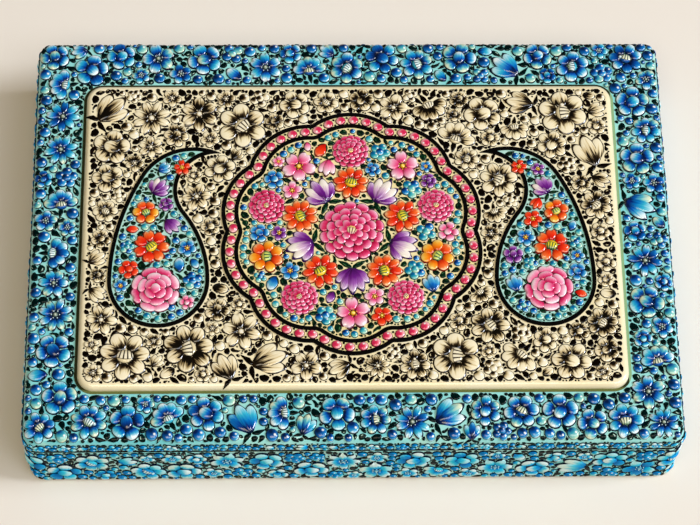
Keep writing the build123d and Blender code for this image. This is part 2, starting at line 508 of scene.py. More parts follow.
MODELS = (
    # name, sides, rings, then moves: of which points, how far forward and aside, how much wider, how far up
    ("petal", 12, FULL, (behind(-0.15), 0.0, 0.0, 0.86), (ahead(0.10), 0.0, 0.0, 1.06)),
    ("cleft_petal", 12, FULL, (behind(-0.20), 0.0, 0.0, 0.70),
     (lambda at: at.x > 0.30 and abs(at.y) < 0.02, -0.13, 0.0, 1.0, -0.10),
     (lambda at: at.x > 0.15 and abs(at.y) > 0.10, 0.05, 0.0, 1.10)),
    ("long_petal", 12, FULL, (ahead(0.36), 0.03, 0.0, 0.72), (behind(-0.20), 0.0, 0.0, 0.66)),
    ("berry", 10, FULL),
    ("seed_head", 14, ((0.92, 0.5), (0.80, 0.3), (0.55, 0.15))),
    ("leaf", 8, LOW, (ahead(0.44), 0.10, 0.0, 1.0), (behind(-0.44), -0.02, 0.0, 1.0),
     (ahead(0.25), 0.0, 0.0, 0.80)),
    ("bean", 10, LOW, (lambda at: abs(at.x) > 0.35, 0.0, -0.12, 1.0), (ahead(0.10), 0.0, 0.0, 0.90)),
    ("comma", 12, LOW, (ahead(0.05), 0.02, 0.06, 0.72), (ahead(0.20), 0.02, 0.10, 0.72),
     (ahead(0.35), 0.02, 0.14, 0.72), (ahead(0.46), 0.02, 0.12, 0.72), (behind(0.05), 0.0, -0.06, 0.90)),
    ("tendril", 14, LOW, (ahead(-0.20), 0.0, 0.0, 0.55), (ahead(-0.20), 0.0, -0.10, 1.0),
     (ahead(0.0), 0.0, -0.06, 1.0), (ahead(0.15), 0.0, 0.06, 1.0), (ahead(0.30), 0.0, 0.14, 1.0),
     (ahead(0.42), 0.0, 0.14, 1.0), (ahead(0.30), 0.0, 0.0, 0.60)),
    ("dot", 7, ((0.80, 0.75),)),
)


def model_shapes():
    for name, sides, rings, *moves in MODELS:
        shape = raised_disc(name, sides, rings)
        for test, forward, aside, wider, *up in moves:
            choose_points(shape, test)
            bpy.ops.transform.resize(value=(1.0, wider, 1.0), center_override=CENTRE)
            bpy.ops.transform.translate(value=(forward, aside, sum(up)))
        keep_shape(shape)


# ------------ laying the relief out, in flat millimetres

class Bed:
    """A patch of ground being filled: the strokes laid on it, and how clear it is round each point."""

    GRAIN = 0.3

    def __init__(self, corner, size, clear_at, around=False, seed=1):
        self.corner = corner
        self.columns = int(round(size[0] / self.GRAIN))
        self.rows = int(round(size[1] / self.GRAIN))
        self.grain = size[0] / self.columns
        self.around = around
        self.reach = 9.0
        self.strokes = []
        draw = random.Random(seed)
        self.random, self.choice, self.uniform = draw.random, draw.choice, draw.uniform
        self.picker = np.random.default_rng(seed)
        self.x = corner[0] + (np.arange(self.columns) + 0.5) * self.grain
        self.y = corner[1] + (np.arange(self.rows) + 0.5) * self.grain
        self.clear = clear_at(*np.meshgrid(self.x, self.y)).astype(np.float32)

    def cell(self, x, y):
        return int((x - self.corner[0]) / self.grain), int((y - self.corner[1]) / self.grain)

    def cover(self, at, radius):
        """Takes the ground within a radius, and shortens the clear distances round it."""
        x, y = at.real, at.imag
        reach = self.reach + radius
        left, low = self.cell(x - reach, y - reach)
        right, high = self.cell(x + reach, y + reach)
        right, low, high = right + 1, max(0, low), min(self.rows, high + 1)
        if not self.around:
            left, right = max(0, left), min(self.columns, right)
        if right <= left or high <= low:
            return
        columns = np.arange(left, right)
        across = self.corner[0] + (columns + 0.5) * self.grain - x
        up = self.y[low:high] - y
        away = np.hypot(across[None, :], up[:, None]) - radius
        columns = columns % self.columns
        self.clear[low:high, columns] = np.minimum(self.clear[low:high, columns], away)

    def clear_round(self, at):
        column, row = self.cell(at.real, at.imag)
        if self.around:
            column %= self.columns
        if 0 <= column < self.columns and 0 <= row < self.rows:
            return self.clear[row, column]
        return -1.0

    def any_turn(self):
        return self.uniform(0.0, 2 * pi)

    def lit_side(self):
        """The turn of a berry, with its painted light, the pale side and white spot, more or less to the
        front right, the same for all.
        """
        return -pi / 4 + self.uniform(-0.6, 0.6)

    def stroke(self, shape, paint, foot, turn, length, width, height, lift=0.0, part="flowers", cover=True):
        """Lays one shape with its foot at a point, running along its turn."""
        self.strokes.append((part, shape, paint, foot, turn, length, width, height, lift))
        if not cover:
            return
        radius = min(length, width) / 2
        steps = max(1, int(round((length - 2 * radius) / radius)) + 1)
        for step in range(steps):
            along = radius + (length - 2 * radius) * (step / (steps - 1) if steps > 1 else 0.5)
            self.cover(foot + rect(along, turn), radius * 0.96)

    def disc(self, shape, paint, at, turn, length, *sizes, **ways):
        """Lays one shape with its middle at a point."""
        self.stroke(shape, paint, at - rect(length, turn) / 2, turn, length, *sizes, **ways)

    def spots(self, radius, slack, limit):
        """Points with at least this radius clear round them, close to what is there, one after another."""
        for _ in range(limit):
            found = np.flatnonzero((self.clear >= radius) & (self.clear < radius + slack))
            if not len(found):
                found = np.flatnonzero(self.clear >= radius)
            if not len(found):
                return
            row, column = divmod(int(found[self.picker.integers(len(found))]), self.columns)
            yield complex(self.x[column], self.y[row])

    def gaps(self, radius, slack):
        """Small clear points for leaves and dots, the tightest first, in one sweep."""
        found = np.flatnonzero((self.clear >= radius) & (self.clear < radius + slack))
        order = np.argsort(self.clear.ravel()[found] + self.picker.random(len(found)) * slack)
        for place in found[order]:
            row, column = divmod(int(place), self.columns)
            if self.clear[row, column] >= radius:
                self.random()        # one draw for each place, which the draws after it count on
                yield complex(self.x[column], self.y[row])


STEP = 0.24      # how much higher every second petal lies, so that its outline shows on its neighbours
SEPAL = 0.5      # how high a sepal stands


def sepals(bed, shape, paint, foot, turns, length, width, height=SEPAL, cover=True):
    """Green strokes at a flower's foot, one for each turn."""
    for turn in turns:
        bed.stroke(shape, paint, foot, turn, length, width, height, part="leaves", cover=cover)


def ring_of_petals(bed, at, radius, start, petals, width, paints, shape, height):
    """Petals side by side round a point, every second one lying over its neighbours."""
    turn = bed.any_turn()
    for petal in range(petals):
        angle = turn + 2 * pi * petal / petals + bed.uniform(-0.06, 0.06)
        over = STEP * (petal % 2) + bed.uniform(0.0, 0.08)
        length = (radius - start) * bed.uniform(0.93, 1.04)
        bed.stroke(shape, bed.choice(paints), at + rect(start, angle), angle, length,
                   width * bed.uniform(0.94, 1.06), height * bed.uniform(0.9, 1.1), over)
    return turn


def blossom(bed, at, radius, kit, height, petals, shape="petal", heart=0.32, overlap=1.14):
    """A flower seen from above: petals round a striped seed head."""
    head = radius * heart
    start = head * 0.72
    width = 2 * pi * (radius + start) / 2 / petals * overlap
    ring_of_petals(bed, at, radius, start, petals, width, bed.choice(kit.petals), shape, height)
    tilt = bed.any_turn()
    bed.disc("seed_head", bed.choice(kit.hearts), at, tilt, head * 2.1, head * 1.75, height * 1.5)
    if kit.ball and bed.random() < 0.4:
        bed.disc("berry", kit.ball, at + rect(head, tilt), tilt, head * 0.7, head * 0.7, height * 1.5)


def domed_blossom(bed, at, radius, kit, height, petals):
    """A flower with one more petal lying over its middle, like a bud that hasn't opened."""
    width = 2 * pi * radius * 0.62 / petals * 1.1
    paints = bed.choice(kit.petals)
    turn = ring_of_petals(bed, at, radius, radius * 0.26, petals, width, paints, "petal", height)
    bed.disc("petal", bed.choice(paints), at, turn + bed.uniform(-0.4, 0.4), radius * 0.92, radius * 0.74,
             height * 1.35, 0.3)


def eyed_blossom(bed, at, radius, kit, height=0.9, petals=6, shape="cleft_petal"):
    """A flatter flower: wedge petals that meet in a small eye of stamens."""
    eye = radius * 0.16
    start = eye * 0.7
    width = 2 * pi * (radius * 0.58 + start * 0.42) / petals * 0.98
    paints = bed.choice(kit.petals)
    turn = ring_of_petals(bed, at, radius, start, petals, width, paints, shape, height)
    bed.disc("berry", kit.eye, at, turn, eye * 2.2, eye * 2.2, height * 1.4)
    for stamen in range(6):
        angle = turn + 2 * pi * (stamen + 0.5) / 6
        place = at + rect(eye, angle) * 1.35
        bed.disc("dot", kit.ball, place, angle, 0.6, 0.6, height * 1.35, cover=False)


def side_blossom(bed, at, radius, kit, height):
    """A flower seen from the side: a fan of petals over a striped cup."""
    turn = bed.any_turn()
    paints = bed.choice(kit.petals)
    foot = at - rect(radius, turn) * 0.35
    for spread, lift in ((-1.30, 0.0), (1.30, 0.0), (-0.65, STEP), (0.65, STEP), (0.0, 2 * STEP)):
        angle = turn + spread
        bed.stroke("petal", bed.choice(paints), foot + rect(radius, angle) * 0.20, angle,
                   radius * bed.uniform(0.94, 1.08), radius * 0.78, height, lift)
    bed.disc("seed_head", bed.choice(kit.hearts), foot, turn + pi / 2, radius * 0.75, radius * 0.60,
             height * 1.5)
    sepals(bed, "leaf", kit.leaf, foot - rect(radius, turn) * 0.1, (turn + pi + bed.uniform(-0.4, 0.4),),
           radius * 0.75, radius * 0.34)


def bell(bed, at, radius, kit, height):
    """A bell from the side: long petals closed over one another, with a sepal on each side of the foot."""
    turn = bed.any_turn()
    paints = bed.choice(kit.petals)
    foot = at - rect(radius, turn) * 0.95
    for spread, share, lift in ((-0.42, 0.90, 0.0), (0.42, 0.90, STEP / 2), (0.0, 1.0, 1.5 * STEP)):
        sizes = (radius * 1.95 * share, radius * 0.86, height, lift)
        bed.stroke("long_petal", bed.choice(paints), foot, turn + spread, *sizes)
    sepals(bed, "comma", kit.leaf, foot, (turn - 1.9, turn + 1.9), radius * 0.8, radius * 0.34)


def cluster(bed, at, radius, kit, height):
    """A head of berries pressed together, the middle one on top."""
    turn = bed.any_turn()
    count = bed.choice((4, 5))
    for number in range(count):
        place = at + rect(radius * 0.56, turn + 2 * pi * number / count)
        bed.disc("berry", bed.choice(kit.berries), place, bed.lit_side(), radius * 0.92, radius * 0.86,
                 height, STEP / 2 * (number % 2))
    bed.disc("berry", bed.choice(kit.berries), at, bed.lit_side(), radius * 0.84, radius * 0.78,
             height * 1.4, STEP)


def bud(bed, at, radius, kit, height):
    """A drop-shaped bud with two short sepals."""
    turn = bed.any_turn()
    paints = bed.choice(kit.petals)
    bed.disc("long_petal", bed.choice(paints), at, turn, radius * 2.0, radius * 1.35, height)
    foot = at - rect(radius, turn) * 0.9
    turns = (turn - 0.75, turn + 0.75)
    sepals(bed, "leaf", kit.leaf, foot, turns, radius * 0.9, radius * 0.36, 0.55, cover=False)


def lay_leaf(bed, kit, at, width, low):
    """One leaf, bean or comma at a point, turned to where there is most room, or a dot if there is none."""
    best = None
    for _ in range(6):
        turn = bed.any_turn()
        ray = rect(width, turn)
        far = min(bed.clear_round(at + ray * 0.8), bed.clear_round(at - ray * 0.5))
        if best is None or far > best[0]:
            best = (far, turn)
    far, turn = best
    paint = bed.choice(kit.leaves)
    if 1.4 < width < 2.4 and far > width * 0.15 and bed.random() < 0.35:
        shape = bed.choice(("tendril", "comma", "leaf"))
        bed.disc(shape, paint, at, turn, width * bed.uniform(1.8, 2.2), width, low, part="leaves")
    elif width > 1.0 and far > width * -0.15:
        shape = bed.choice(("bean", "bean", "bean", "bean", "comma"))
        length = width * bed.uniform(1.25, 1.55)
        width = width * 1.12
        bed.disc(shape, paint, at + rect(width, turn) * 0.1, turn, length, width, low, part="leaves")
    else:
        bed.disc("dot", paint, at, turn, width * 0.95, width * 0.95, low * 0.85, part="leaves")


def fill(bed, kit, sizes, height=1.0, low=0.45):
    """Berries and leaves in what is left, the large ones first, with the share of berries for each size."""
    bed.reach = 6.0
    for width, berries in sizes:
        for at in bed.gaps(width / 2 + 0.08, 0.9):
            if bed.random() < berries:
                size = width * bed.uniform(0.92, 1.05)
                bed.disc("berry", bed.choice(kit.berries), at, bed.lit_side(), size, size * 0.93,
                         height * (0.55 + 0.08 * size), bed.uniform(0.0, 0.15))
            else:
                lay_leaf(bed, kit, at, min(width, bed.uniform(2.2, 3.0)), low)


FINE = ((3.4, 0.9), (2.7, 0.6), (2.1, 0.1), (1.6, 0.0), (1.15, 0.0), (0.9, 0.0))
MIXED = ((5.4, 0.92), (4.6, 0.88), (3.9, 0.8), (3.3, 0.6), (2.8, 0.25), (2.2, 0.1), (1.7, 0.0), (1.2, 0.0))


# ------------ bending the flat work onto the box

SUNK = 0.05      # how deep every stroke stands in its ground


def flat_at(level):
    def place(points):
        points[:, 2] += level
        return points
    return place


def over_edge(width, depth, corner, rounding, level):
    """A bend for a flat top: what lies beyond the flat runs down over the rounded edge."""
    half_x, half_y = width / 2 - corner, depth / 2 - corner
    bend = corner - rounding

    def place(points):
        core = np.stack((points[:, 0].clip(-half_x, half_x), points[:, 1].clip(-half_y, half_y)), 1)
        out = points[:, :2] - core
        away = np.hypot(out[:, 0], out[:, 1])
        past = away - bend
        beyond = past > 0
        way = out / np.maximum(away, 1e-9)[:, None]
        turned = (past / rounding).clip(0.0, pi / 2)
        drop = (past - rounding * pi / 2).clip(0.0, None)
        stand = rounding + points[:, 2]
        edge = core + way * bend
        bent = points.copy()
        bent[:, 2] += level
        bent[beyond, :2] = (edge + way * (stand * np.sin(turned))[:, None])[beyond]
        bent[beyond, 2] = (level - rounding + stand * np.cos(turned) - drop)[beyond]
        return bent

    return place


def round_the_walls(points):
    """A strip wrapped round the four walls: x runs round from the front's left end, y is the height."""
    along = points[:, 0] % ROUND_LENGTH
    bent = np.empty_like(points)
    bent[:, 2] = points[:, 1]
    stand = points[:, 2]
    passed = 0.0
    starts = ((-WALK_WIDTH / 2, -DEPTH / 2), (WIDTH / 2, -WALK_DEPTH / 2), (WALK_WIDTH / 2, DEPTH / 2),
              (-WIDTH / 2, WALK_DEPTH / 2))
    for side, (start, length) in enumerate(zip(starts, (WALK_WIDTH, WALK_DEPTH) * 2)):
        way = np.array((cos(side * pi / 2), sin(side * pi / 2)))
        face = np.array((way[1], -way[0]))
        here = (along >= passed) & (along < passed + length)
        run = along[here] - passed
        bent[here, :2] = start + way * run[:, None] + face * stand[here][:, None]
        passed += length
        here = (along >= passed) & (along < passed + TURN_LENGTH)
        turned = (along[here] - passed) / CORNER
        middle = start + way * length - face * CORNER
        swung = face * np.cos(turned)[:, None] + way * np.sin(turned)[:, None]
        bent[here, :2] = middle + swung * (CORNER + stand[here])[:, None]
        passed += TURN_LENGTH
    return bent


def up_the_skirt(points):
    """The strip round the lid's sides, with its upper edge turned in over the rounded edge."""
    spring = LID_TOP - LID_ROUNDING
    points[:, 1] = points[:, 1].clip(SEAM + 0.5, None)
    turned = ((points[:, 1] - spring) / LID_ROUNDING).clip(0.0, pi / 2)
    stand = LID_ROUNDING + points[:, 2]
    curled = points.copy()
    curled[:, 1] = np.minimum(points[:, 1], spring) + stand * np.sin(turned)
    curled[:, 2] = stand * np.cos(turned) - LID_ROUNDING
    return round_the_walls(curled)


def painted_shape(shape, slot, tile, across):
    """A copy of a shape with its place among the piece's materials, and its own tile of the OFBake map."""
    master = SHAPES[shape].copy()
    master.polygons.foreach_set("material_index", [slot] * len(master.polygons))
    corners = np.empty(len(master.loops) * 2, dtype=np.float32)
    layer = master.uv_layers["OFBake"].data
    layer.foreach_get("uv", corners)
    corners = corners.reshape(-1, 2) * 0.90 + 0.05
    corners += (tile % across, tile // across)
    layer.foreach_set("uv", (corners / across).ravel())
    return master


def press(bed, part, name, body, slot, bend):
    """One piece of all the strokes of one part: each is a copy of its shape, set in place, then bent."""
    strokes = [stroke[1:] for stroke in bed.strokes if stroke[0] == part]
    kinds = sorted({stroke[:2] for stroke in strokes})
    used = sorted({paint for _, paint in kinds})
    across = max(1, ceil(len(kinds) ** 0.5))
    masters = {(shape, paint): painted_shape(shape, used.index(paint), number, across)
               for number, (shape, paint) in enumerate(kinds)}
    gathered = bmesh.new()
    for shape, paint, foot, turn, length, width, height, lift in strokes:
        copy = masters[shape, paint].copy()
        sized = Matrix.Diagonal((length, width, height, 1.0)) @ Matrix.Translation((0.5, 0.0, 0.0))
        place = Matrix.Translation((foot.real, foot.imag, lift - SUNK))
        copy.transform(place @ Matrix.Rotation(turn, 4, "Z") @ sized)
        gathered.from_mesh(copy)
        bpy.data.meshes.remove(copy)
    mesh = bpy.data.meshes.new(name)
    gathered.to_mesh(mesh)
    gathered.free()
    for master in masters.values():
        bpy.data.meshes.remove(master)
    points = bend(points_of(mesh)) * MM
    mesh.vertices.foreach_set("co", points.astype(np.float32).ravel())
    mesh.update()
    for paint in used:
        mesh.materials.append(bpy.data.materials[paint])
    piece = put(name, mesh)
    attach(piece, body)
    return piece


def press_both(bed, flowers, leaves, body, slot, bend):
    """The two pieces of a bed: its flowers and berries, and its leaves."""
    piece = press(bed, "flowers", flowers, body, slot, bend)
    press(bed, "leaves", leaves, body, "leaf_paint", bend)
    return piece


# ------------ the ground there is, from the solids

def top_loops(node):
    """The outlines of a node's top face, as closed rows of points in millimetres, the longest first."""
    solid = bmesh.new()
    solid.from_mesh(bpy.data.objects[node].data)
    bmesh.ops.remove_doubles(solid, verts=solid.verts, dist=1e-6)
    top = max(point.co.z for point in solid.verts)
    rim = []
    for edge in solid.edges:
        level = [abs(point.co.z - top) < 1e-6 for point in edge.verts]
        flat = [face for face in edge.link_faces if abs(face.normal.z) > 0.9]
        if all(level) and len(flat) == 1:
            rim.append(edge)
    loops = []
    while rim:
        first, here = rim.pop(0).verts
        row = [first]
        while here is not first:
            row.append(here)
            onward = next(step for step in here.link_edges if step in rim)
            rim.remove(onward)
            here = onward.other_vert(here)
        loops.append(np.array([(point.co.x / MM, point.co.y / MM) for point in row]))
    solid.free()
    return sorted(loops, key=lambda loop: -np.hypot(*(loop - np.roll(loop, 1, 0)).T).sum())


def inside(loop, x, y):
    """Whether points lie inside a closed row of points."""
    within = np.zeros(x.shape, dtype=bool)
    for (x0, y0), (x1, y1) in zip(loop, np.roll(loop, -1, 0)):
        if y0 == y1:
            continue
        crosses = (y0 > y) != (y1 > y)
        within ^= crosses & (x < (x1 - x0) * (y - y0) / (y1 - y0) + x0)
    return within


def away_from(loop, x, y):
    """The distance of points from a closed row of points."""
    nearest = np.full(x.shape, 1e9)
    for start, end in zip(loop, np.roll(loop, -1, 0)):
        way = end - start
        share = (((x - start[0]) * way[0] + (y - start[1]) * way[1]) / max(way @ way, 1e-12)).clip(0.0, 1.0)
        nearest = np.minimum(nearest, np.hypot(x - start[0] - way[0] * share, y - start[1] - way[1] * share))
    return nearest


def rounded_edge(x, y, width, depth, corner):
    """The distance outwards from a rounded rectangle, less than nothing inside it."""
    out_x = np.abs(x) - width / 2 + corner
    out_y = np.abs(y) - depth / 2 + corner
    beyond = np.hypot(out_x.clip(0.0, None), out_y.clip(0.0, None))
    return beyond + np.maximum(out_x, out_y).clip(None, 0.0) - corner


# ------------ the paints of each kind of ground

NIGHT, WHITE = (0, 18, 44), (232, 250, 250)
BROWN, UMBER, CREAM = (34, 22, 8), (10, 6, 2), (252, 240, 204)
PLUM, VIOLET, RUST, TEAL = (84, 14, 40), (48, 16, 84), (128, 22, 10), (14, 84, 96)
MOSS = (10, 50, 40)
BLUE_PETALS = (
    # name, seed, foot, body, light, tip
    ("blue_petal_white", 1, (0, 26, 78), (2, 90, 186), (64, 176, 216), WHITE),
    ("blue_petal_lime", 2, (0, 32, 80), (2, 94, 178), (90, 190, 200), (226, 238, 204)),
    ("blue_petal_aqua", 3, (0, 38, 118), (0, 118, 194), (54, 184, 212), (186, 236, 244)),
    ("blue_petal_deep", 4, (0, 22, 66), (0, 68, 150), (10, 116, 190), (104, 196, 232)),
)
BLUE_BERRIES = (
    # name, seed, deep, body, pale, line, eye, glow
    ("blue_berry", 5, (0, 34, 92), (0, 94, 180), (70, 178, 220), NIGHT, 0.60, WHITE),
    ("blue_berry_deep", 6, (0, 30, 72), (0, 76, 150), (20, 122, 190), NIGHT, 0.50, (120, 200, 226)),
    ("blue_berry_lime", 9, (0, 70, 140), (60, 172, 192), (160, 216, 196), NIGHT, 0.75, (236, 240, 200)),
    ("white_ball", 7, WHITE, (226, 240, 236), (150, 196, 220), NIGHT),
    ("grey_eye", 8, (206, 216, 200), (120, 140, 120), (40, 64, 70), NIGHT),
)
BLUE_HEADS = (
    # name, stripes, pale, green, dark, brow, line
    ("blue_seed_head", 5.0, WHITE, (186, 212, 166), (20, 84, 96), (60, 180, 206), NIGHT),
    ("lime_seed_head", 4.5, (236, 240, 208), (150, 190, 150), (22, 60, 66), (20, 90, 170), NIGHT),
)
BLUE_LEAVES = (
    # name, seed, deep, edge, glint, its share
    ("ivy_leaf", 1, (0, 14, 14), (2, 34, 32), (150, 200, 180), 0.0),
    ("ivy_leaf_lit", 2, (0, 18, 16), (4, 44, 40), (196, 230, 208), 0.95),
)
PETALS = (
    # name, seed, foot, body, light, tip, line, hairs, where each colour starts
    ("cream_petal", 11, UMBER, (48, 34, 18), (222, 200, 150), CREAM, BROWN, 0.52, (0.27, 0.39, 0.52, 0.74)),
    ("cream_petal_pale", 12, UMBER, (74, 56, 32), (232, 214, 166), CREAM, BROWN, 0.48,
     (0.20, 0.32, 0.46, 0.66)),
    ("cream_petal_dark", 13, UMBER, (28, 18, 10), (170, 146, 98), (250, 236, 196), BROWN, 0.60,
     (0.36, 0.50, 0.64, 0.86)),
    ("crimson_petal", 21, (176, 14, 66), (214, 40, 98), (242, 120, 160), (254, 208, 220), PLUM, 0.16),
    ("rose_petal", 22, (206, 30, 92), (234, 84, 136), (248, 158, 188), (254, 226, 232), PLUM, 0.18,
     (0.05, 0.30, 0.56, 0.84)),
    ("deep_rose_petal", 23, (150, 8, 50), (200, 24, 76), (230, 70, 120), (248, 156, 184), PLUM, 0.14),
    ("orange_petal", 24, (196, 30, 8), (238, 70, 18), (248, 110, 48), (252, 196, 136), RUST, 0.14),
    ("scarlet_petal", 25, (200, 16, 8), (236, 46, 18), (246, 84, 42), (252, 156, 108), RUST, 0.12,
     (0.15, 0.45, 0.75, 0.96)),
    ("amber_petal", 26, (214, 72, 6), (244, 122, 14), (252, 172, 50), (254, 224, 124), RUST, 0.14),
    ("purple_petal", 27, (66, 10, 86), (108, 28, 128), (162, 92, 176), (238, 216, 232), VIOLET, 0.18),
    ("lilac_petal", 28, (88, 18, 108), (140, 70, 156), (214, 176, 206), (250, 240, 226), VIOLET, 0.24,
     (0.02, 0.22, 0.46, 0.70)),
    ("sky_petal", 29, (0, 50, 124), (10, 106, 190), (80, 176, 216), (226, 244, 244), (6, 26, 52), 0.10),
)
BERRIES = (
    # name, seed, deep, body, pale, line, eye, glow, where each colour starts
    ("cream_berry", 14, UMBER, (112, 88, 52), (250, 238, 202), UMBER, 0.60, None, (0.28, 0.42, 0.62)),
    ("cream_berry_pale", 15, UMBER, (204, 182, 132), (252, 242, 210), UMBER, 0.90, None, (0.16, 0.30, 0.52)),
    ("cream_ball", 16, (255, 250, 232), (246, 236, 204), (160, 140, 100), BROWN),
    ("turquoise_berry", 30, (4, 96, 150), (20, 150, 180), (120, 208, 196), TEAL, 0.5, (214, 236, 200)),
    ("turquoise_berry_pale", 31, (16, 134, 170), (76, 190, 196), (170, 220, 190), TEAL, 0.7,
     (240, 236, 190)),
    ("yellow_ball", 33, (255, 240, 140), (248, 206, 50), (206, 130, 20), RUST),
    ("pink_bead", 34, (214, 40, 84), (232, 72, 104), (250, 186, 188), PLUM, 0.4),
)
HEADS = (
    ("cream_seed_head", 4.5, (250, 240, 208), (206, 190, 146), (46, 34, 22), (228, 212, 168), UMBER),
    ("teal_seed_head", 5.0, (238, 220, 50), (10, 120, 96), (6, 74, 60), (250, 204, 40), MOSS),
    ("green_seed_head", 4.0, (214, 226, 110), (30, 140, 110), (8, 84, 66), (226, 214, 90), MOSS),
    ("plum_seed_head", 4.0, (250, 232, 180), (200, 120, 150), (110, 20, 60), (250, 214, 120), PLUM),
)
LEAVES = (
    ("umber_leaf", 3, (6, 3, 1), (16, 9, 4), (226, 206, 158), 0.0),
    ("umber_leaf_lit", 4, (8, 4, 2), (26, 15, 8), (238, 220, 172), 0.9),
    ("green_leaf", 5, (4, 28, 18), (12, 58, 30), (96, 160, 96), 0.5),
    ("dark_green_leaf", 6, (3, 18, 12), (8, 38, 22), (70, 130, 80), 0.3),
    ("black_dot", 7, (8, 16, 10), (18, 30, 18), (60, 90, 60), 0.0),
)


def blue_paints(prefix="", earlier=0.0, **ways):
    """The blues of the border, or of the sides, where they are brighter and the pale tips start earlier:
    painted light, for the little light the sides get.
    """
    fades = tuple(fade - earlier for fade in (0.22, 0.42, 0.62, 0.86))
    for name, *rest in BLUE_PETALS:
        starts = (0.24, 0.50, 0.74, 0.94) if name == "blue_petal_deep" else fades
        petal_paint(prefix + name, *rest, NIGHT, fades=starts, **ways)
    for name, *rest in BLUE_BERRIES:
        berry_paint(prefix + name, *rest, **ways)
    for name, *rest in BLUE_HEADS:
        seed_head_paint(prefix + name, *rest, **ways)
    for name, *rest in BLUE_LEAVES:
        leaf_paint(prefix + name, *rest)


def relief_paints():
    blue_paints()
    # the sides' blues: brightened copies, painted light for the grazing light on the walls and the lid's
    # skirt
    blue_paints("wall_", 0.16, coat=THIN_VARNISH, mixed=bright_tone)
    tables = ((petal_paint, PETALS), (berry_paint, BERRIES), (seed_head_paint, HEADS), (leaf_paint, LEAVES))
    for paint, rows in tables:
        for row in rows:
            paint(*row)


Kit = namedtuple("Kit", "petals hearts eye ball berries leaf leaves", defaults=(None,) * 6)


def blue_kit(prefix=""):
    """Which paint each part of a flower may have, on the turquoise ground."""
    white, lime, aqua, deep = (prefix + row[0] for row in BLUE_PETALS)
    berry, navy, pale, ball, eye = (prefix + row[0] for row in BLUE_BERRIES)
    ivy, lit = (prefix + row[0] for row in BLUE_LEAVES)
    petals = ((white, lime, aqua), (white, aqua, deep), (lime, white, white), (aqua, deep, white))
    hearts = tuple(prefix + row[0] for row in BLUE_HEADS)
    return Kit(petals, hearts, eye, ball, (berry, berry, navy, navy, pale), ivy, (ivy, ivy, lit))


CREAM_KIT = Kit(
    petals=(("cream_petal", "cream_petal_pale"), ("cream_petal", "cream_petal_dark"),
            ("cream_petal_pale", "cream_petal_pale", "cream_petal"), ("cream_petal", "cream_petal_dark")),
    hearts=("cream_seed_head",),
    eye="cream_ball",
    ball="cream_ball",
    berries=("cream_berry", "cream_berry", "cream_berry_pale"),
    leaf="umber_leaf",
    leaves=("umber_leaf", "umber_leaf", "umber_leaf", "umber_leaf_lit"),
)
BRIGHT_KIT = Kit(
    petals=(("sky_petal",), ("sky_petal",), ("purple_petal",), ("rose_petal",), ("scarlet_petal",)),
    hearts=("green_seed_head",),
    eye="yellow_ball",
    ball="yellow_ball",
    berries=("turquoise_berry", "turquoise_berry_pale", "blue_berry"),
    leaf="green_leaf",
    leaves=("green_leaf", "dark_green_leaf", "dark_green_leaf"),
)
ROSES = ("rose_petal", "crimson_petal")
ORANGES = ("amber_petal", "orange_petal")
PURPLES = ("purple_petal", "lilac_petal")


# ------------ the flower work, ground by ground

EDGE_LINE = 1.1      # width of the line at the panel's foot
TO_EDGE_LINE = 0.1   # how clear of it the flowers stay
TO_OUTLINE = 0.15    # how clear of a raised black line they stay inside it
ROUND_OUTLINE = 0.2  # and outside it
BORDER_DROP = 2.9    # how far the border's flowers run down over the lid's rounded edge
PANEL_DROP = 0.4     # and the panel's over its own
OVERLAP = 1.0        # how far the border's bed reaches past the lid
MEDALLION_CORNER, MEDALLION_SIZE = (-54.0, -54.0), (108.0, 108.0)


def petalled(flower, *counts):
    """A flower with one of these numbers of petals, drawn anew each time."""
    return lambda bed, *rest: flower(bed, *rest, bed.choice(counts))


LARGE = (
    # up to which share of the draws, which flower, how large, how high
    (0.20, petalled(blossom, 6, 7, 7, 8), 1.0, 1.0),
    (0.50, petalled(domed_blossom, 5, 5, 6), 1.0, 1.0),
    (0.74, petalled(eyed_blossom, 5, 6, 6, 8), 1.0, 0.9),
    (0.90, side_blossom, 0.82, 1.0),
    (1.00, bell, 0.92, 1.0),
)
SMALL = (
    (0.25, partial(eyed_blossom, petals=5, shape="petal"), 1.0, 0.85),
    (0.45, partial(domed_blossom, petals=5), 1.0, 0.85),
    (0.70, cluster, 1.0, 0.9),
    (0.85, bell, 0.95, 0.9),
    (1.00, bud, 0.82, 0.9),
)


def strew(bed, kit, large, small, mixed=MIXED, height=1.0):
    """Fills a bed as it is done by hand: large flowers, small ones, then berries and leaves, then dots."""
    rounds = ((large, LARGE, 12.0, 0.15, 0.8), (small, SMALL, 8.0, 0.1, 0.6))
    for sizes, flowers, reach, apart, slack in rounds:
        bed.reach = reach
        for radius, limit in sizes:
            for at in bed.spots(radius + apart, slack, limit):
                style = bed.random()
                flower, size, high = next(row[1:] for row in flowers if style < row[0])
                flower(bed, at, radius * size, kit, height * high)
    fill(bed, kit, mixed, height, 0.45 * height)


def lid_border():
    def clear_at(x, y):
        foot = PANEL_WIDTH + 2 * EDGE_LINE, PANEL_DEPTH + 2 * EDGE_LINE, PANEL_CORNER + EDGE_LINE
        flat = WIDTH - 2 * LID_ROUNDING, DEPTH - 2 * LID_ROUNDING, CORNER - LID_ROUNDING
        return np.minimum(rounded_edge(x, y, *foot) - TO_EDGE_LINE, BORDER_DROP - rounded_edge(x, y, *flat))

    corner, size = (-WIDTH / 2 - OVERLAP, -DEPTH / 2 - OVERLAP), (WIDTH + 2 * OVERLAP, DEPTH + 2 * OVERLAP)
    bed = Bed(corner, size, clear_at, seed=11)
    strew(bed, blue_kit(), ((7.4, 48), (6.4, 40)), ((4.9, 50), (4.0, 40)), height=1.1)
    bend = over_edge(WIDTH, DEPTH, CORNER, LID_ROUNDING, LID_TOP)
    press_both(bed, "lid_border_flowers", "lid_border_leaves", "lid", "blue_enamel", bend)


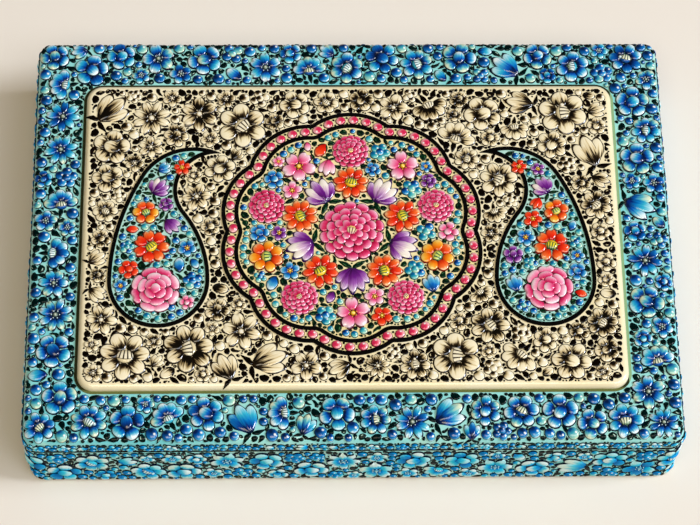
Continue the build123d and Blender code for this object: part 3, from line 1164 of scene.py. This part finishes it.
def strip(low, high, seed):
    """A bed that runs round all four sides, between two heights."""
    def clear_at(x, y):
        return np.minimum(y - low, high - y)

    return Bed((0.0, low), (ROUND_LENGTH, high - low), clear_at, around=True, seed=seed)


def lid_skirt():
    bed = strip(SEAM + 1.0, LID_TOP - LID_ROUNDING + 1.5, 12)
    mixed = ((3.8, 1.0), (3.1, 1.0), (2.5, 0.8), (1.9, 0.5), (1.4, 0.0), (1.0, 0.0))
    strew(bed, blue_kit("wall_"), (), ((3.0, 90),), mixed, 0.8)
    press_both(bed, "lid_skirt_flowers", "lid_skirt_leaves", "lid", "blue_enamel", up_the_skirt)


def wall_flowers():
    """The walls' flowers, taller than they are wide: laid out round, then drawn up with the strip."""
    taller = 1.25

    def drawn_up(points):
        points = points * (1.0, taller, 1.0)
        points[:, 1] = points[:, 1].clip(0.4, SEAM - 0.5)     # clear of the floor and of the seam
        return round_the_walls(points)

    bed = strip(1.2 / taller, (SEAM - 1.0) / taller, 13)
    mixed = ((4.4, 0.9), (3.6, 0.8), (3.0, 0.6), (2.4, 0.2), (1.8, 0.0), (1.3, 0.0))
    strew(bed, blue_kit("wall_"), ((7.4, 70), (6.4, 60)), ((4.6, 90), (3.6, 90)), mixed, 0.85)
    press_both(bed, "wall_flowers", "wall_leaves", "base", "blue_enamel", drawn_up)


def panel_field():
    nodes = ("medallion_outline_outer", "boteh_outline_left", "boteh_outline_right")
    figures = [top_loops(node)[0] for node in nodes]

    def clear_at(x, y):
        flat = PANEL_WIDTH - 2 * PANEL_ROUNDING, PANEL_DEPTH - 2 * PANEL_ROUNDING
        room = PANEL_DROP - rounded_edge(x, y, *flat, PANEL_CORNER - PANEL_ROUNDING)
        for loop in figures:
            beside = np.where(inside(loop, x, y), -1.0, away_from(loop, x, y) - ROUND_OUTLINE)
            room = np.minimum(room, beside)
        return room

    bed = Bed((-PANEL_WIDTH / 2, -PANEL_DEPTH / 2), (PANEL_WIDTH, PANEL_DEPTH), clear_at, seed=14)
    large, small = ((10.5, 5), (8.2, 14), (6.6, 40), (5.4, 50)), ((4.2, 70), (3.3, 80))
    mixed = ((4.6, 0.7), (3.9, 0.6), (3.3, 0.35), (2.8, 0.15), (2.2, 0.0), (1.7, 0.0), (1.2, 0.0),
             (0.9, 0.0))
    strew(bed, CREAM_KIT, large, small, mixed, 0.7)
    bend = over_edge(PANEL_WIDTH, PANEL_DEPTH, PANEL_CORNER, PANEL_ROUNDING, PANEL_TOP)
    press_both(bed, "panel_flowers", "panel_leaves", "lid", "cream_enamel", bend)


def dahlia(bed, at, radius, paints, heart, height=1.0):
    """A many-petalled flower: rings of petals, each ring standing higher than the one outside it."""
    turn = bed.any_turn()
    rings = ((1.0, 14, 0.0), (0.79, 12, 0.30), (0.59, 10, 0.60), (0.41, 7, 0.85))
    for number, (share, count, lift) in enumerate(rings):
        outer = radius * share
        length = radius * 0.36
        width = 2 * pi * (outer - length * 0.4) / count * 1.12
        for petal in range(count):
            angle = turn + number * 0.5 + 2 * pi * petal / count + bed.uniform(-0.04, 0.04)
            start = outer - length * bed.uniform(0.96, 1.04)
            bed.stroke("petal", bed.choice(paints), at + rect(start, angle), angle, length, width,
                       height * bed.uniform(0.85, 1.0), lift, cover=number == 0)
    bed.cover(at, radius * 0.8)
    bed.disc("seed_head", heart, at, turn, radius * 0.34, radius * 0.32, height * 0.8, 1.1, cover=False)


def cabbage_rose(bed, at, radius, paints):
    """A full rose: broad petals closing round an off-centre bud."""
    turn = bed.any_turn()
    for number, (share, count, lift) in enumerate(((1.0, 8, 0.0), (0.74, 6, 0.4), (0.50, 4, 0.8))):
        outer = radius * share
        length = radius * 0.46
        width = 2 * pi * (outer - length * 0.4) / count * 1.18
        for petal in range(count):
            angle = turn + number * 0.6 + 2 * pi * petal / count + bed.uniform(-0.08, 0.08)
            shape = "cleft_petal" if number == 0 and petal % 3 == 0 else "petal"
            foot = at + rect(outer - length, angle)
            bed.stroke(shape, bed.choice(paints), foot, angle, length, width, 1.0, lift, cover=number == 0)
    bed.cover(at, radius * 0.75)
    bed.disc("petal", paints[0], at, turn, radius * 0.52, radius * 0.46, 1.0, 1.1, cover=False)


def rosette(bed, at, radius, paints, heart, petals, shape="long_petal"):
    """A flat daisy with a striped seed head."""
    blossom(bed, at, radius, Kit((paints,), (heart,)), 1.0, petals, shape, 0.34, 1.20)


def primrose(bed, at, radius, paint):
    eyed_blossom(bed, at, radius, Kit(((paint,),), eye="yellow_ball", ball="yellow_ball"), petals=5)


def crocus(bed, at, radius, turn):
    """A crocus from the side: outer petals spread, inner petals closed over them, two leaves at the foot."""
    foot = at - rect(radius, turn) * 0.8
    for spread, share, lift in ((-0.80, 0.80, 0.0), (0.80, 0.80, 0.0), (-0.40, 0.95, 0.2), (0.40, 0.95, 0.2),
                                (0.0, 1.0, 0.4)):
        paint = PURPLES[0] if abs(spread) > 0.6 else bed.choice(PURPLES)
        bed.stroke("long_petal", paint, foot, turn + spread, radius * 1.75 * share, radius * 0.72, 1.0, lift)
    sepals(bed, "leaf", "green_leaf", foot, (turn - 2.1, turn + 2.1), radius * 0.9, radius * 0.34)


def ground_within(node):
    """How clear each point is inside the inner edge of a raised line."""
    edge = top_loops(node)[-1]

    def clear_at(x, y):
        return np.where(inside(edge, x, y), away_from(edge, x, y) - TO_OUTLINE, -1.0)

    return clear_at


def medallion():
    """A rosette of flowers turned about the middle of the medallion, one group to a scallop."""
    bed = Bed(MEDALLION_CORNER, MEDALLION_SIZE, ground_within("medallion_outline_inner"), seed=15)
    dahlia(bed, 0j, 13.2, ("crimson_petal", "crimson_petal", "deep_rose_petal"), "plum_seed_head")
    for number in range(5):
        angle = pi / 2 + 2 * pi * number / 5
        rosette(bed, rect(21.4, angle), 7.5, ("orange_petal", "scarlet_petal"), "teal_seed_head", 9)
        angle += pi / 5
        crocus(bed, rect(21.2, angle), 6.6, angle)
    for number in range(10):
        at = rect(35.4, pi / 2 + 2 * pi * number / 10)
        if number % 2 == 0:
            dahlia(bed, at, 7.6, ("deep_rose_petal", "crimson_petal"), "plum_seed_head", 0.8)
        elif number % 4 == 1:
            primrose(bed, at, 7.2, "rose_petal")
        else:
            rosette(bed, at, 7.2, ORANGES, "green_seed_head", 7, "petal")
    strew(bed, BRIGHT_KIT, (), ((4.4, 26), (3.5, 60), (2.8, 60)), FINE, 0.9)
    press_both(bed, "medallion_flowers", "medallion_leaves", "lid", "bright_enamel", flat_at(GROUND_TOP))


def boteh(side, name, seed):
    """The flowers of one boteh: side is 1 for the right one and -1 for the left."""
    low, high = span("boteh_ground_" + name)
    size = (high[0] - low[0], high[1] - low[1])
    bed = Bed((low[0], low[1]), size, ground_within("boteh_outline_" + name), seed=seed)
    cabbage_rose(bed, complex(side * 77.0, -25.0), 10.0, ROSES)
    rosette(bed, complex(side * 79.0, -6.5), 7.4, ("scarlet_petal", "orange_petal"), "teal_seed_head", 7,
            "cleft_petal")
    rosette(bed, complex(side * 81.5, 8.4), 5.4, ORANGES, "green_seed_head", 6, "petal")
    crocus(bed, complex(side * 76.5, 19.5), 4.6, pi / 2 + side * 0.7)
    primrose(bed, complex(side * 67.5, 28.2), 3.6, "scarlet_petal")
    strew(bed, BRIGHT_KIT, (), ((4.2, 8), (3.2, 8)), FINE, 0.9)
    names = ("boteh_flowers_" + name, "boteh_leaves_" + name)
    press_both(bed, *names, "lid", "bright_enamel", flat_at(GROUND_TOP))


def bead_ring():
    """Enamel beads on the solids' places, with a black dot by each outline between every two."""
    beads = sorted((complex(*loop.mean(0)) for loop in top_loops("medallion_beads")), key=phase)
    bed = Bed(MEDALLION_CORNER, MEDALLION_SIZE, lambda x, y: np.zeros(x.shape), seed=16)
    for here, onward in zip(beads, beads[1:] + beads[:1]):
        way = phase(onward - here)
        bed.disc("berry", "pink_bead", here, way, 4.4, 3.9, 0.98, cover=False)
        for off in (-1.25, 1.25):
            dot = (here + onward) / 2 + rect(off, way) * 1j
            bed.disc("dot", "black_dot", dot, way, 1.05, 1.05, 0.4, part="leaves", cover=False)
    domes = press_both(bed, "bead_domes", "bead_dots", "lid", "pink_enamel", flat_at(GROUND_TOP))
    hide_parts("medallion_beads")


def set_floor():
    bpy.ops.object.select_all(action="DESELECT")
    bpy.ops.mesh.primitive_plane_add(size=6.0, location=(0.0, 0.0, 0.0))
    floor = bpy.context.object
    floor.name = "floor"
    paint = Paint("floor_paper")
    colour = paint.mix(paint.noise(paint.places(), 3.0), tone(240, 232, 220), tone(236, 228, 216))
    floor.data.materials.append(paint.finish(colour, 0.8))


def main():
    set_camera()
    set_lights()
    set_floor()
    paint_boards()
    model_shapes()
    relief_paints()
    lid_border()
    lid_skirt()
    wall_flowers()
    panel_field()
    medallion()
    boteh(1, "right", 17)
    boteh(-1, "left", 18)
    bead_ring()


main()
